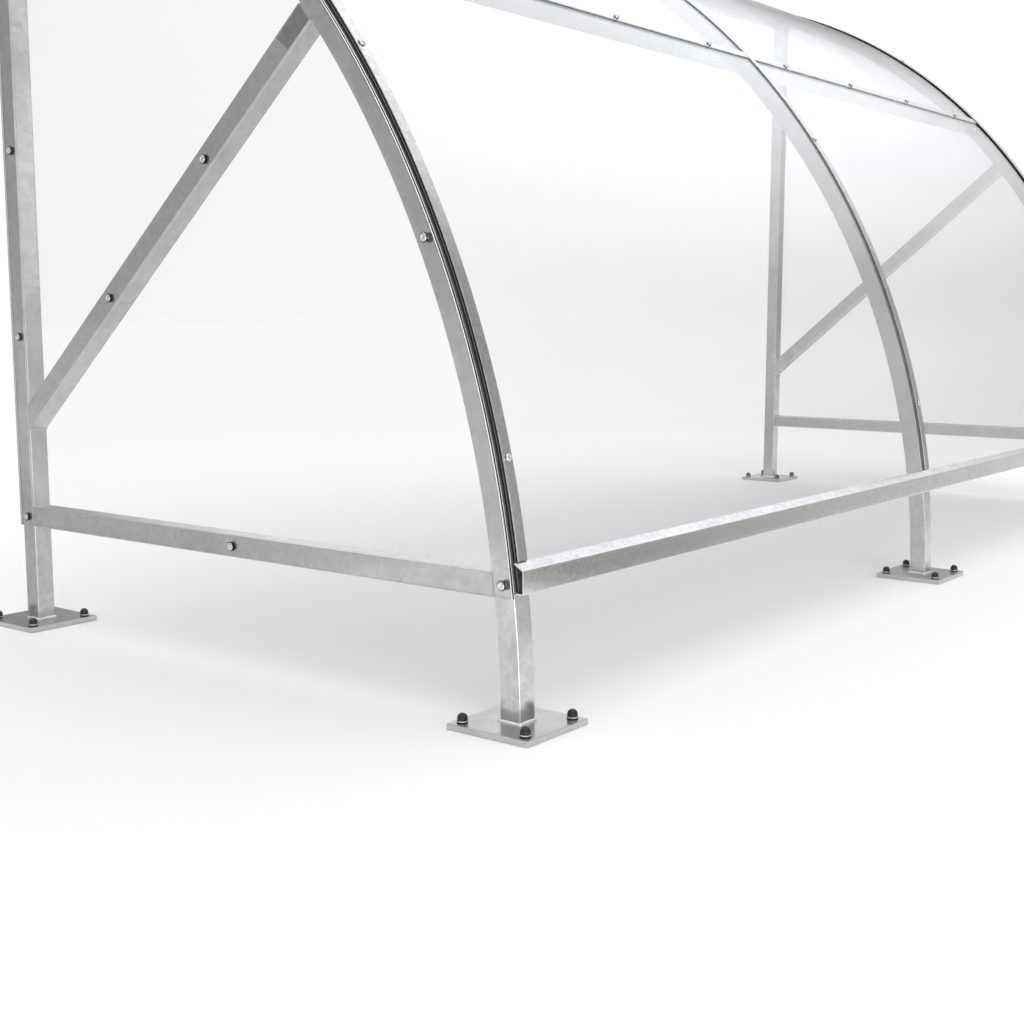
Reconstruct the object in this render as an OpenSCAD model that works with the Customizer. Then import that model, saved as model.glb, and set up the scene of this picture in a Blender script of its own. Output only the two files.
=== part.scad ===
// Arched canopy shelter: curved square-tube frames carry clear sheets over two
// bays, with clear end walls and an open front. It stands on bolted foot plates.
// Millimetres, +Z up, +X along the length, -Y is the open front.

/* [Frame] */
// Spacing of the curved frames
bay = 2250; // [1800:10:2800]
// Side of the square frame tube
tube = 54; // [44:1:60]
// Corner radius of the square frame tube
tube_corner = 2.5; // [2:0.5:6]
// Radius of the curved frames on the tube's centre line
arch_r = 2475; // [2400:5:2700]
// Height of the curve's axis above the ground
axis_z = 8; // [0:1:10]
// Angle round the curve at which the frames end, above the front
arch_end = 78; // [76:0.5:82]
// Distance from the curved frames' feet to the front posts
depth = 1740; // [1600:10:1800]
// Height of the end rails' centre line
rail_z = 314; // [280:1:360]
// Height at which a brace's centre line leaves its post
brace_z = 596; // [540:2:660]
// Slope of the braces
brace_a = 40.4; // [36:0.2:44]
// Depth of the front beam that carries the middle frame
beam_d = 80; // [60:2:100]
// Angle round the curve of the purlin under the sheets' joint
joint_a = 45; // [38:0.5:50]

/* [Feet] */
// Side of a square foot plate
plate = 220; // [180:5:240]
// Thickness of a foot plate
plate_t = 14; // [10:1:16]
// Diameter of an anchor hole
hole_d = 14; // [11:0.5:16]
// Spacing of the anchor holes, both ways
hole_pitch = 170; // [140:2:176]

/* [Cladding] */
// Thickness of the clear roof sheets
sheet_t = 3; // [2:0.5:6]
// Thickness of the rubber strip under the sheets
gasket_t = 3; // [2:0.5:4]
// Width of the cover strips over the curved frames
cover_w = 32; // [28:1:42]
// Thickness of the cover strips
cover_t = 3; // [2:0.5:4]
// Thickness of the rubber strip under a cover strip
cover_gasket_t = 4; // [1.5:0.5:4]
// Thickness of the rubber strip under the middle cover strip
mid_gasket_t = 1; // [1:0.5:4]
// Gap between neighbouring sheets
sheet_gap = 6; // [4:1:12]
// Thickness of the clear end panels
end_sheet_t = 4; // [3:0.5:6]
// Thickness of the rubber edge strip behind an end panel
end_gasket_t = 5; // [3:0.5:5]
// Width of the rubber edge strip behind an end panel
end_gasket_w = 5; // [3:0.5:8]

/* [Edge profiles] */
// Thickness of the bent rear rail and front trim
bent_t = 3; // [2:0.5:3]
// Underside height of the rear rail
rear_z = 297; // [290:1:306]
// Height of the rear rail's upright web
rear_web = 53; // [48:1:60]
// How far the rear rail's web stands behind the feet's centre line
rear_out = 36; // [34:1:44]
// How far the rear rail's lip leans in, towards the sheets
lip_in = 25; // [20:0.5:25]
// How far the rear rail's lip rises
lip_up = 15; // [13:0.5:16]
// How far the front trim reaches back over the sheets
trim_lip = 45; // [30:1:60]

/* [Hidden] */
$fn = 64;
arc_fn = 720;
half = tube / 2;

// radii of the layers on the curve, from the tube outwards
r_in = arch_r - half;
r_out = arch_r + half;
r_sheet = r_out + gasket_t;
r_sheet_out = r_sheet + sheet_t;
r_cov = r_sheet_out + cover_gasket_t;
r_cov_out = r_cov + cover_t;

// the plan box is centred on the origin: from the rear foot plates' edge
// to the lower front corner of the front trim
r_trim = r_in - 8;
y_front = -arch_r + r_trim * cos(arch_end) - bent_t * sin(arch_end);
y_foot = -(y_front + plate / 2) / 2;
y_post = y_foot - depth;
y_axis = y_foot - arch_r;

// angles round the curve
a_post = acos((arch_r - depth) / arch_r);
a_low = asin((rear_z + bent_t + 1 - axis_z) / r_sheet);
a_cover = asin((rear_z + rear_web + lip_up + 1 - axis_z) / r_cov);
a_trim = arch_end - (trim_lip + 1) / r_sheet_out * 180 / PI;
a_gap = sheet_gap / 2 / r_sheet * 180 / PI;
a_strip = cover_w / 2 / r_sheet * 180 / PI;

galv = [0.72, 0.73, 0.73];
galv_dark = [0.62, 0.63, 0.64];
clear = [0.90, 0.93, 0.95, 0.30];
rubber = [0.06, 0.06, 0.06];

// ---- building blocks -------------------------------------------------

// turns a drawing in (Y, Z) with its height along X into place
module yz() { rotate(a = 120, v = [1, 1, 1]) children(); }

// the same, with the curve's axis as the drawing's origin
module on_axis() { translate([0, y_axis, axis_z]) yz() children(); }

// outline of a square tube with round corners, centred
module tube_2d(w, h) {
    c = tube_corner;
    square([w - 2 * c, h], center = true);
    square([w, h - 2 * c], center = true);
    for (i = [-1, 1], j = [-1, 1])
        translate([i * (w / 2 - c), j * (h / 2 - c)]) circle(r = c, $fn = 32);
}

// a band round the curve, from x0 to x1 and from angle a0 to a1
module band(r0, r1, x0, x1, a0, a1) {
    on_axis() rotate([0, 0, a0]) rotate_extrude(angle = a1 - a0, $fn = arc_fn)
        translate([r0, x0]) square([r1 - r0, x1 - x0]);
}

// everything inside the curved frames
module inside_curve(x, w) {
    on_axis() translate([0, 0, x - w / 2]) cylinder(r = r_in, h = w, $fn = arc_fn);
}

// a square tube along a straight line in the end plane
module end_bar(x, y, z, a, from, len) {
    yz() translate([y, z, x]) rotate([0, 0, a]) translate([from, 0, 0])
        rotate([90, 0, 90]) linear_extrude(height = len) tube_2d(tube, tube);
}

// a cross member between two neighbouring curved frames, its top on the curve
module cross_bar(x0, x1, a, d) {
    on_axis() rotate([0, 0, a]) translate([r_out - 0.2 - d / 2, 0, x0])
        linear_extrude(height = x1 - x0) tube_2d(d, tube);
}

// end-wall outline in (Y, Z), drawn in by a margin all round
module end_outline(m) {
    intersection() {
        translate([y_axis, axis_z]) circle(r = r_out - m, $fn = arc_fn);
        translate([y_post - half + m, rail_z - half + m]) square([3000, 3000]);
    }
}

// ---- frame -------------------------------------------------------------

module arch(x) {
    color(galv) difference() {
        on_axis() rotate_extrude(angle = arch_end, $fn = arc_fn)
            translate([arch_r, x]) tube_2d(tube, tube);
        translate([x - tube, y_foot - tube, -1]) cube([2 * tube, 2 * tube, plate_t + 1]);
    }
}
module arch_right() { arch(bay); }
module arch_mid() { arch(0); }
module arch_left() { arch(-bay); }

module foot_plate(x, y) {
    color(galv_dark) difference() {
        translate([x - plate / 2, y - plate / 2, 0]) cube([plate, plate, plate_t]);
        for (i = [-1, 1], j = [-1, 1])
            translate([x + i * hole_pitch / 2, y + j * hole_pitch / 2, -1])
                cylinder(d = hole_d, h = plate_t + 2);
    }
}
module rear_plate_right() { foot_plate(bay, y_foot); }
module rear_plate_mid() { foot_plate(0, y_foot); }
module rear_plate_left() { foot_plate(-bay, y_foot); }
module front_plate_right() { foot_plate(bay, y_post); }
module front_plate_left() { foot_plate(-bay, y_post); }

module post(x) {
    color(galv) intersection() {
        translate([x, y_post, plate_t]) linear_extrude(height = arch_r) tube_2d(tube, tube);
        inside_curve(x, 2 * tube);
    }
}
module post_right() { post(bay); }
module post_left() { post(-bay); }

module brace(x) {
    color(galv) intersection() {
        end_bar(x, y_post + half, brace_z, brace_a, -tube * 2, arch_r);
        translate([x - tube, y_post + half, 0]) cube([2 * tube, arch_r, arch_r]);
        inside_curve(x, 2 * tube);
    }
}
module brace_right() { brace(bay); }
module brace_left() { brace(-bay); }

module end_rail(x) {
    color(galv) intersection() {
        end_bar(x, y_post + half, rail_z, 0, 0, arch_r);
        inside_curve(x, 2 * tube);
    }
}
module end_rail_right() { end_rail(bay); }
module end_rail_left() { end_rail(-bay); }

module front_beam_right() { color(galv) cross_bar(half, bay - half, a_post, beam_d); }
module front_beam_left() { color(galv) cross_bar(half - bay, -half, a_post, beam_d); }

module purlin_right() { color(galv) cross_bar(half, bay - half, joint_a, tube); }
module purlin_left() { color(galv) cross_bar(half - bay, -half, joint_a, tube); }

// ---- edge profiles -------------------------------------------------------

// bent channel along the rear foot of the sheets: leaning lip, web, bottom flange
module rear_rail(x0, x1) {
    t = bent_t;
    yo = y_foot + rear_out;
    z1 = rear_z + rear_web;
    yi = y_axis + sqrt(r_out * r_out - pow(rear_z - axis_z, 2)) + 0.2;
    len = sqrt(lip_in * lip_in + lip_up * lip_up);
    // inner end of the lip, and the inner corner under it
    ny = t * lip_up / len;
    nz = t * lip_in / len;
    zc = z1 + lip_up - nz - (lip_in + ny - t) * lip_up / lip_in;
    color(galv) yz() translate([0, 0, x0]) linear_extrude(height = x1 - x0)
        polygon([[yi, rear_z], [yo, rear_z], [yo, z1], [yo - lip_in, z1 + lip_up],
            [yo - lip_in - ny, z1 + lip_up - nz], [yo - t, zc],
            [yo - t, rear_z + t], [yi, rear_z + t]]);
}
module rear_rail_right() { rear_rail(0.5, bay + half); }
module rear_rail_left() { rear_rail(-bay - half, -0.5); }

// bent trim over the front ends of the frames and sheets
module front_trim(x0, x1) {
    t = bent_t;
    color(galv) on_axis() rotate([0, 0, arch_end]) translate([0, 0, x0])
        linear_extrude(height = x1 - x0)
        polygon([[r_sheet_out, -trim_lip], [r_sheet_out + t, -trim_lip], [r_sheet_out + t, t],
            [r_trim, t], [r_trim, -15], [r_trim + t, -15], [r_trim + t, 0], [r_sheet_out, 0]]);
}
module front_trim_right() { front_trim(0.5, bay + half); }
module front_trim_left() { front_trim(-bay - half, -0.5); }

// ---- cladding ------------------------------------------------------------

module sheet(s, a0, a1) {
    near = sheet_gap / 2;
    far = bay + cover_w / 2;
    color(clear) band(r_sheet, r_sheet_out, s > 0 ? near : -far, s > 0 ? far : -near, a0, a1);
}
module lower_sheet_right() { sheet(1, a_low, joint_a - a_gap); }
module lower_sheet_left() { sheet(-1, a_low, joint_a - a_gap); }
module upper_sheet_right() { sheet(1, joint_a + a_gap, arch_end); }
module upper_sheet_left() { sheet(-1, joint_a + a_gap, arch_end); }

module end_panel(s) {
    x = bay + half + end_gasket_t;
    color(clear) yz() translate([0, 0, s > 0 ? x : -x - end_sheet_t])
        linear_extrude(height = end_sheet_t) end_outline(0);
}
module end_panel_right() { end_panel(1); }
module end_panel_left() { end_panel(-1); }

// the rubber strip follows the curve only
module end_gasket(s) {
    x = bay + half;
    color(rubber) yz() translate([0, 0, s > 0 ? x : -x - end_gasket_t])
        linear_extrude(height = end_gasket_t) difference() {
            end_outline(0);
            translate([y_axis, axis_z]) circle(r = r_out - end_gasket_w, $fn = arc_fn);
        }
}
module end_gasket_right() { end_gasket(1); }
module end_gasket_left() { end_gasket(-1); }

// flat packing between the post, brace and rail and the end panel
module end_packing(s) {
    x = bay + half;
    w = tube - 1;
    color(galv) yz() translate([0, 0, s > 0 ? x : -x - end_gasket_t])
        linear_extrude(height = end_gasket_t) intersection() {
            translate([y_axis, axis_z]) circle(r = arch_r - half - 0.5, $fn = arc_fn);
            translate([y_post - w / 2, rail_z - w / 2]) square([3000, 3000]);
            union() {
                translate([y_post - w / 2, 0]) square([w, 3000]);
                translate([y_post, rail_z - w / 2]) square([3000, w]);
                intersection() {
                    translate([y_post + half, brace_z]) rotate(brace_a)
                        translate([-2 * tube, -w / 2]) square([3000, w]);
                    translate([y_post, 0]) square([3000, 3000]);
                }
            }
        }
}
module end_packing_right() { end_packing(1); }
module end_packing_left() { end_packing(-1); }

module arch_gasket(x) {
    color(rubber) band(r_out, r_sheet, x - cover_w / 2, x + cover_w / 2, a_low, arch_end);
}
module arch_gasket_right() { arch_gasket(bay); }
module arch_gasket_mid() { arch_gasket(0); }
module arch_gasket_left() { arch_gasket(-bay); }

// the middle strip sits closer to the sheets than the end ones
function r_strip(x) = x == 0 ? r_sheet_out + mid_gasket_t : r_cov;

module cover_gasket(x) {
    color(rubber) band(r_sheet_out, r_strip(x), x - cover_w / 2, x + cover_w / 2, a_cover, a_trim);
}
module cover_gasket_right() { cover_gasket(bay); }
module cover_gasket_mid() { cover_gasket(0); }
module cover_gasket_left() { cover_gasket(-bay); }

module cover_strip(x) {
    color(galv) band(r_strip(x), r_strip(x) + cover_t, x - cover_w / 2, x + cover_w / 2, a_cover, a_trim);
}
module cover_strip_right() { cover_strip(bay); }
module cover_strip_mid() { cover_strip(0); }
module cover_strip_left() { cover_strip(-bay); }

module joint_gasket(x0, x1) {
    color(rubber) band(r_out, r_sheet, x0, x1, joint_a - a_strip, joint_a + a_strip);
}
module joint_gasket_right() { joint_gasket(half, bay - half); }
module joint_gasket_left() { joint_gasket(half - bay, -half); }

module joint_strip(x0, x1) {
    color(galv) band(r_sheet_out, r_sheet_out + cover_t, x0, x1, joint_a - a_strip, joint_a + a_strip);
}
module joint_strip_right() { joint_strip(cover_w / 2 + 1, bay - cover_w / 2 - 1); }
module joint_strip_left() { joint_strip(cover_w / 2 + 1 - bay, -cover_w / 2 - 1); }

// ---- nodes -----------------------------------------------------------------

arch_right();
arch_mid();
arch_left();
rear_plate_right();
rear_plate_mid();
rear_plate_left();
post_right();
post_left();
front_plate_right();
front_plate_left();
brace_right();
brace_left();
end_rail_right();
end_rail_left();
front_beam_right();
front_beam_left();
purlin_right();
purlin_left();
rear_rail_right();
rear_rail_left();
front_trim_right();
front_trim_left();
lower_sheet_right();
lower_sheet_left();
upper_sheet_right();
upper_sheet_left();
end_panel_right();
end_panel_left();
end_gasket_right();
end_gasket_left();
end_packing_right();
end_packing_left();
arch_gasket_right();
arch_gasket_mid();
arch_gasket_left();
cover_gasket_right();
cover_gasket_mid();
cover_gasket_left();
cover_strip_right();
cover_strip_mid();
cover_strip_left();
joint_gasket_right();
joint_gasket_left();
joint_strip_right();
joint_strip_left();
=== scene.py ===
import math
import random

import bmesh
import bpy
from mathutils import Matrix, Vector


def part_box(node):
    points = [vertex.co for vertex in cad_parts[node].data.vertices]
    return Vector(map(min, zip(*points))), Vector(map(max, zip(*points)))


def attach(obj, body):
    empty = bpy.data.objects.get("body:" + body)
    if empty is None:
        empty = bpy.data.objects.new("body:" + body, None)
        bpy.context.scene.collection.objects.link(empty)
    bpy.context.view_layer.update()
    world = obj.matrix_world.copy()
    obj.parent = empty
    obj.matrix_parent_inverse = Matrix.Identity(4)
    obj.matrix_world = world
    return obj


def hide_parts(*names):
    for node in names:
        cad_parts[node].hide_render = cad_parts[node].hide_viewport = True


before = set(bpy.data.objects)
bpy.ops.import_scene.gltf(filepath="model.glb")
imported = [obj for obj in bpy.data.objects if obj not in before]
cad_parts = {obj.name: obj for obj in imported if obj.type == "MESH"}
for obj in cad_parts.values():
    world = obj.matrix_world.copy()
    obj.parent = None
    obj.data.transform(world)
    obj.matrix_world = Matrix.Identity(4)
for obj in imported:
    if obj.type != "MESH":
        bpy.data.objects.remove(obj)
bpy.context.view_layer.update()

# ---------------------------------------------------------------- sizes, in metres
BAY = 2.25
TUBE = 0.054
HALF = TUBE / 2
CORNER = 0.0025
R = 2.475
AXIS_Z = 0.008
R_IN = R - HALF
R_OUT = R + HALF
GASKET_T = 0.003
SHEET_T = 0.003
R_SHEET = R_OUT + GASKET_T
R_SHEET_OUT = R_SHEET + SHEET_T
R_COV = R_SHEET_OUT + 0.004
R_COV_OUT = R_COV + 0.003
COVER_W = 0.032
A_END = 78.0
JOINT_A = 45.0
RAIL_Z = 0.314
BRACE_Z = 0.596
BRACE_A = math.radians(40.4)
BEAM_D = 0.080
PLATE = 0.220
PLATE_T = 0.014
HOLE_D = 0.014
PITCH = 0.170
BENT_T = 0.003
END_GASKET_T = 0.005
END_GASKET_W = 0.005
END_SHEET_T = 0.004
REAR_Z = 0.297
REAR_WEB = 0.053
REAR_OUT = 0.036
LIP_IN = 0.025
LIP_UP = 0.015
TRIM_LIP = 0.045

lo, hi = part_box("rear_plate_mid")
Y_FOOT = (lo.y + hi.y) / 2
lo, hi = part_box("front_plate_right")
Y_POST = (lo.y + hi.y) / 2
Y_AXIS = Y_FOOT - R
A_POST = math.degrees(math.acos((Y_POST - Y_AXIS) / R))
A_LOW = math.degrees(math.asin((REAR_Z + BENT_T + 0.001 - AXIS_Z) / R_SHEET))
A_COVER = math.degrees(math.asin((REAR_Z + REAR_WEB + LIP_UP + 0.001 - AXIS_Z) / R_COV))
A_TRIM = A_END - math.degrees((TRIM_LIP + 0.001) / R_SHEET_OUT)
A_GAP = math.degrees(0.003 / R_SHEET)
A_STRIP = math.degrees(COVER_W / 2 / R_SHEET)
SIDES = (("right", 1), ("left", -1))
FRAMES = (("right", BAY), ("mid", 0.0), ("left", -BAY))
rng = random.Random(1575)


# ---------------------------------------------------------------- materials
def new_mat(name):
    m = bpy.data.materials.new(name)
    m.use_nodes = True
    m.node_tree.nodes.clear()
    return m, m.node_tree, m.node_tree.nodes.new("ShaderNodeOutputMaterial")


def node(nt, kind, values=None, **attrs):
    n = nt.nodes.new(kind)
    for k, v in attrs.items():
        setattr(n, k, v)
    for k, v in (values or {}).items():
        n.inputs[k].default_value = v
    return n


def math_node(nt, op, a, b=None, clamp=False):
    n = node(nt, "ShaderNodeMath", operation=op, use_clamp=clamp)
    for i, x in enumerate((a, b)):
        if x is None:
            continue
        if isinstance(x, (int, float)):
            n.inputs[i].default_value = x
        else:
            nt.links.new(x, n.inputs[i])
    return n.outputs[0]


def map_range(nt, x, a, b, c, d, smooth=False):
    n = node(nt, "ShaderNodeMapRange", {"From Min": a, "From Max": b, "To Min": c, "To Max": d})
    if smooth:
        n.interpolation_type = "SMOOTHSTEP"
    nt.links.new(x, n.inputs["Value"])
    return n.outputs["Result"]


def noise(nt, vec, scale, detail=3.0, rough=0.55, distort=0.0):
    n = node(nt, "ShaderNodeTexNoise", {"Scale": scale, "Detail": detail, "Roughness": rough, "Distortion": distort})
    nt.links.new(vec, n.inputs["Vector"])
    return n.outputs["Fac"]


def mix_colour(nt, fac, a, b):
    n = node(nt, "ShaderNodeMix", data_type="RGBA")
    nt.links.new(fac, n.inputs["Factor"])
    n.inputs[6].default_value = (*a, 1)
    n.inputs[7].default_value = (*b, 1)
    return n.outputs[2]


def steel(name, base, rough=0.27, tone=0.5, cell=75.0, spangle=0.10, streak=0.10, wave=0.06, grain=0.05, speck=0.20, haze=0.30):
    """Hot-dip galvanised steel: cloudy zinc, faint spangle cells, draw marks along the piece."""
    m, nt, out = new_mat(name)
    p = node(nt, "ShaderNodeBsdfPrincipled", {"Metallic": 1.0})
    tc = node(nt, "ShaderNodeTexCoord")
    obj, uv = tc.outputs["Object"], tc.outputs["UV"]
    cloud = noise(nt, obj, 6.0, 5.0, 0.62, 0.4)
    patch = noise(nt, obj, 26.0, 4.0, 0.6, 0.8)
    vor = node(nt, "ShaderNodeTexVoronoi", {"Scale": cell, "Randomness": 1.0})
    warp = node(nt, "ShaderNodeVectorMath", operation="MULTIPLY_ADD")
    nwarp = node(nt, "ShaderNodeTexNoise", {"Scale": 55.0, "Detail": 2.0})
    nt.links.new(obj, nwarp.inputs["Vector"])
    nt.links.new(nwarp.outputs["Color"], warp.inputs[0])
    warp.inputs[1].default_value = (0.012, 0.012, 0.012)
    nt.links.new(obj, warp.inputs[2])
    nt.links.new(warp.outputs[0], vor.inputs["Vector"])
    sep = node(nt, "ShaderNodeSeparateColor")
    nt.links.new(vor.outputs["Color"], sep.inputs[0])
    mp = node(nt, "ShaderNodeMapping")
    mp.inputs["Scale"].default_value = (320.0, 5.0, 1.0)
    nt.links.new(uv, mp.inputs["Vector"])
    lines = noise(nt, mp.outputs[0], 1.0, 4.0, 0.65)
    t = math_node(nt, "MULTIPLY_ADD", cloud, 1.1 * tone)
    nt.nodes[-1].inputs[2].default_value = 0.5 - 0.55 * tone
    t2 = math_node(nt, "MULTIPLY_ADD", patch, 0.7 * tone)
    nt.nodes[-1].inputs[2].default_value = -0.35 * tone
    t3 = math_node(nt, "MULTIPLY_ADD", sep.outputs[0], spangle)
    nt.nodes[-1].inputs[2].default_value = -0.5 * spangle
    t4 = math_node(nt, "MULTIPLY_ADD", lines, streak * 2)
    nt.nodes[-1].inputs[2].default_value = -streak
    t5 = map_range(nt, noise(nt, obj, 380.0, 1.0, 0.5), 0.58, 0.74, 0.0, speck)
    tone_all = math_node(nt, "ADD", math_node(nt, "ADD", math_node(nt, "ADD", t, t2), t5), math_node(nt, "ADD", t3, t4), clamp=True)
    dark = tuple(c * 0.71 for c in base)
    light = tuple(min(1.0, c * 1.24) for c in base)
    nt.links.new(mix_colour(nt, tone_all, dark, light), p.inputs["Base Color"])
    nt.links.new(map_range(nt, tone_all, 0.2, 0.8, rough + 0.07, rough - 0.06), p.inputs["Roughness"])
    fine = noise(nt, obj, 700.0, 2.0, 0.5)
    swell = noise(nt, obj, 18.0, 2.0, 0.5)
    height = math_node(nt, "ADD", math_node(nt, "MULTIPLY", fine, grain),
                       math_node(nt, "ADD", math_node(nt, "MULTIPLY", swell, wave * 12), math_node(nt, "MULTIPLY", lines, grain)))
    b = node(nt, "ShaderNodeBump", {"Strength": 0.35, "Distance": 0.0008})
    nt.links.new(height, b.inputs["Height"])
    nt.links.new(b.outputs[0], p.inputs["Normal"])
    # a wider second lobe for the dull grain of the zinc
    dull = node(nt, "ShaderNodeBsdfPrincipled", {"Metallic": 1.0, "Roughness": 0.46})
    nt.links.new(p.inputs["Base Color"].links[0].from_socket, dull.inputs["Base Color"])
    nt.links.new(b.outputs[0], dull.inputs["Normal"])
    both = node(nt, "ShaderNodeMixShader", {"Fac": haze})
    nt.links.new(p.outputs[0], both.inputs[1])
    nt.links.new(dull.outputs[0], both.inputs[2])
    nt.links.new(both.outputs[0], out.inputs["Surface"])
    return m


def plastic(name, base, rough, bump=0.15, scale=900.0, gloss=0.5):
    m, nt, out = new_mat(name)
    p = node(nt, "ShaderNodeBsdfPrincipled", {"Specular IOR Level": gloss})
    tc = node(nt, "ShaderNodeTexCoord")
    n1 = noise(nt, tc.outputs["Object"], 40.0, 4.0, 0.6)
    n2 = noise(nt, tc.outputs["Object"], scale, 2.0)
    nt.links.new(mix_colour(nt, n1, tuple(c * 0.6 for c in base), tuple(c * 1.6 for c in base)), p.inputs["Base Color"])
    nt.links.new(map_range(nt, n1, 0.3, 0.7, rough - 0.06, rough + 0.08), p.inputs["Roughness"])
    b = node(nt, "ShaderNodeBump", {"Strength": bump, "Distance": 0.0003})
    nt.links.new(n2, b.inputs["Height"])
    nt.links.new(b.outputs[0], p.inputs["Normal"])
    nt.links.new(p.outputs[0], out.inputs["Surface"])
    return m


def clear_sheet(name, tint, shade, f0=0.042):
    """Clear sheet: lets what is behind show, mirrors more at a slant, and takes some light from what it covers."""
    m, nt, out = new_mat(name)
    lw = node(nt, "ShaderNodeLayerWeight", {"Blend": 0.5})
    f5 = math_node(nt, "POWER", lw.outputs["Facing"], 4.2)
    fac = math_node(nt, "MULTIPLY_ADD", f5, 0.9, clamp=True)
    nt.nodes[-1].inputs[2].default_value = f0
    tr = node(nt, "ShaderNodeBsdfTransparent", {"Color": (*tint, 1)})
    gl = node(nt, "ShaderNodeBsdfPrincipled", {"Metallic": 1.0, "Base Color": (0.97, 0.98, 1.0, 1)})
    tc = node(nt, "ShaderNodeTexCoord")
    swell = noise(nt, tc.outputs["Object"], 2.6, 2.0)
    nt.links.new(map_range(nt, swell, 0.3, 0.7, 0.02, 0.05), gl.inputs["Roughness"])
    bump = node(nt, "ShaderNodeBump", {"Strength": 0.5, "Distance": 0.004})
    nt.links.new(swell, bump.inputs["Height"])
    nt.links.new(bump.outputs[0], gl.inputs["Normal"])
    seen = node(nt, "ShaderNodeMixShader")
    nt.links.new(fac, seen.inputs[0])
    nt.links.new(tr.outputs[0], seen.inputs[1])
    nt.links.new(gl.outputs[0], seen.inputs[2])
    lp = node(nt, "ShaderNodeLightPath")
    light = math_node(nt, "MAXIMUM", lp.outputs["Is Shadow Ray"], lp.outputs["Is Diffuse Ray"])
    dim = node(nt, "ShaderNodeBsdfTransparent", {"Color": (*shade, 1)})
    last = node(nt, "ShaderNodeMixShader")
    nt.links.new(light, last.inputs[0])
    nt.links.new(seen.outputs[0], last.inputs[1])
    nt.links.new(dim.outputs[0], last.inputs[2])
    nt.links.new(last.outputs[0], out.inputs["Surface"])
    return m


def sheet_edge(name, dark, light):
    m, nt, out = new_mat(name)
    p = node(nt, "ShaderNodeBsdfPrincipled", {"IOR": 1.5})
    tc = node(nt, "ShaderNodeTexCoord")
    n1 = noise(nt, tc.outputs["Object"], 60.0, 4.0)
    nt.links.new(mix_colour(nt, n1, dark, light), p.inputs["Base Color"])
    nt.links.new(map_range(nt, n1, 0.3, 0.7, 0.18, 0.34), p.inputs["Roughness"])
    nt.links.new(p.outputs[0], out.inputs["Surface"])
    return m


FRAME_STEEL = steel("galvanised_tube", (0.665, 0.655, 0.642), rough=0.20, tone=0.62, spangle=0.27, streak=0.22)
PLATE_STEEL = steel("galvanised_plate", (0.560, 0.560, 0.556), rough=0.22, cell=55.0, streak=0.03)
BENT_STEEL = steel("galvanised_sheet", (0.710, 0.705, 0.698), rough=0.15, cell=110.0, spangle=0.42, streak=0.06, speck=0.28)
# lighter steel for the round corners and bends: a painted highlight along the arrises
HIGHLIGHT_STEEL = steel("painted_highlight_edges", (0.800, 0.795, 0.785), rough=0.20, speck=0.1)
WELD_STEEL = steel("weld_zinc", (0.760, 0.758, 0.752), rough=0.30, cell=240.0, streak=0.0, wave=0.10)
BOLT_STEEL = steel("bright_zinc", (0.780, 0.775, 0.765), rough=0.19, cell=400.0, tone=0.25, streak=0.0)
RUBBER = plastic("black_rubber", (0.007, 0.007, 0.007), 0.55, gloss=0.15)
# grey rubber for the middle frame: a painted reflection of the clear sheet over black rubber
MID_REFLECTION_RUBBER = plastic("rubber_painted_reflection", (0.20, 0.20, 0.205), 0.6, gloss=0.3)
CAP_BLACK = plastic("black_cap", (0.012, 0.012, 0.013), 0.28, bump=0.06)
CLEAR = clear_sheet("clear_sheet", (0.985, 0.987, 0.988), (0.745, 0.745, 0.745))
EDGE = sheet_edge("clear_panel_edge", (0.72, 0.78, 0.80), (0.93, 0.96, 0.97))
ROOF_EDGE = sheet_edge("clear_sheet_edge", (0.08, 0.09, 0.09), (0.15, 0.16, 0.16))
CUT_EDGE = sheet_edge("clear_panel_cut", (0.56, 0.56, 0.55), (0.66, 0.66, 0.65))


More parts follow.
